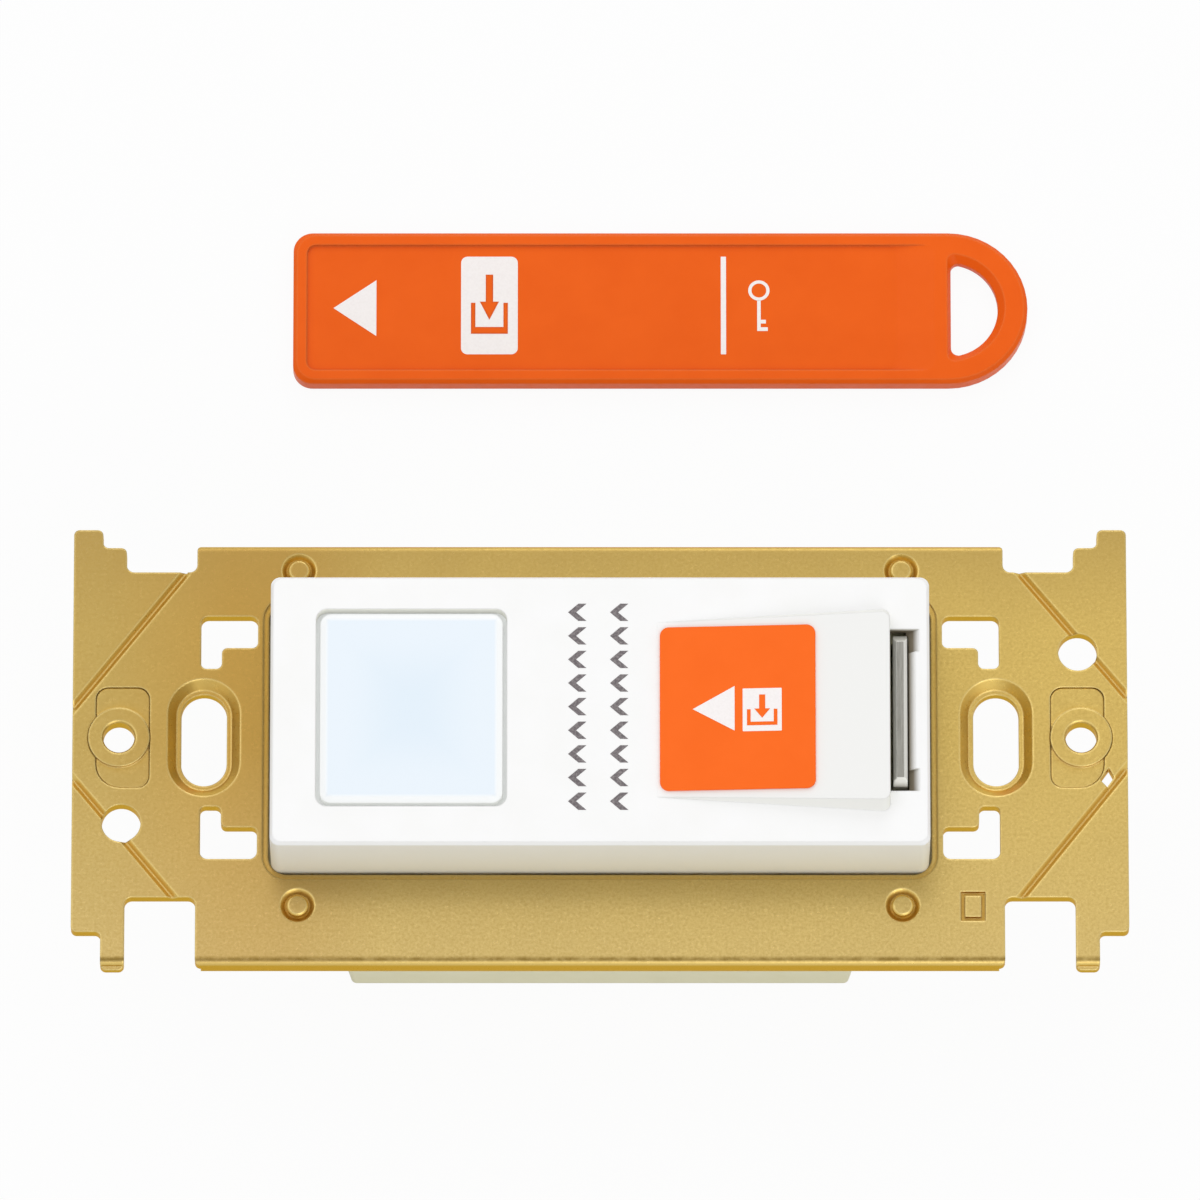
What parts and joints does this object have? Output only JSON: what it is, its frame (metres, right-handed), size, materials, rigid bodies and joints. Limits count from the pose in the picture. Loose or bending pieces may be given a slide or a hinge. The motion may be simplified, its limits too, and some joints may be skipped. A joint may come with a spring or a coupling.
{
  "type": "hotel key card switch",
  "caption": "Flush wall switch on a plated steel frame, with a lit window and an inclined slot that takes a loose key tag.",
  "frame": {"origin": "midway between the two box-screw slots, on the back face of the mounting frame's plate", "axes": "+X along the frame towards the key slot, +Y across it towards the loose key tag, +Z out of the wall"},
  "size_m": [0.1112, 0.0907, 0.0395],
  "materials": {
    "plated_steel": "yellow zinc plating, satin",
    "white_plastic": "semi-gloss",
    "lens_plastic": "polished opal",
    "label_film": "satin film",
    "key_plastic": "semi-gloss",
    "steel": "brushed",
    "spring_steel": "drawn wire and strip",
    "beige_plastic": "fine matt",
    "brass": "bright",
    "board": "coated",
    "dark_plastic": "fine matt",
    "red_plastic": "polished",
    "capacitor_sleeve": "shrunk sleeve",
    "led_resin": "clear resin"
  },
  "bodies": {
    "switch": {"mounting_frame": "plated_steel", "plate_screw_nuts": "plated_steel", "frame_rivets": "plated_steel", "front_cover": "white_plastic", "light_box": "white_plastic", "window_lens": "lens_plastic", "light_diffuser": "lens_plastic", "direction_label": "label_film", "rear_cover_screws": "steel", "guide_screws": "steel", "microswitch_lever_pin": "steel", "microswitch_pins": "steel", "board_screws": "steel", "shutter_spring": "spring_steel", "terminal_springs": "spring_steel", "rear_housing": "beige_plastic", "rear_cover": "beige_plastic", "key_guide_lower": "beige_plastic", "key_guide_upper": "beige_plastic", "terminal_block": "beige_plastic", "microswitch_leads": "brass", "terminal_busbars": "brass", "circuit_board": "board", "microswitch_body": "dark_plastic", "relay": "dark_plastic", "smoothing_capacitor": "capacitor_sleeve", "window_leds": "led_resin"},
    "shutter": {"slot_shutter": "steel"},
    "lever": {"microswitch_lever": "spring_steel"},
    "plunger": {"microswitch_plunger": "red_plastic"},
    "key": {"key_tag": "key_plastic"}
  },
  "joints": [
    {"name": "key_insertion", "type": "slide", "parent": "switch", "child": "key", "axis": [-1, 0, 0], "range_m": [0, 0.0462]},
    {"name": "shutter_press", "type": "slide", "parent": "switch", "child": "shutter", "axis": [0, 0, -1], "range_m": [0, 0.0032], "stiffness_N_per_m": 150, "springref_m": -0.001, "deforming": ["shutter_spring"]},
    {"name": "lever_swing", "type": "hinge", "parent": "switch", "child": "lever", "pos_m": [0.00544, 0, -0.01159], "axis": [0, 1, 0], "range_deg": [0, 13]},
    {"name": "plunger_travel", "type": "slide", "parent": "switch", "child": "plunger", "axis": [-0.7071, 0, 0.7071], "range_m": [0, 0.00113], "stiffness_N_per_m": 200, "springref_m": -0.0001}
  ],
  "couplings": [
    {"joint": "lever_swing", "follows": "plunger_travel", "rad_per_m": 200}
  ]
}
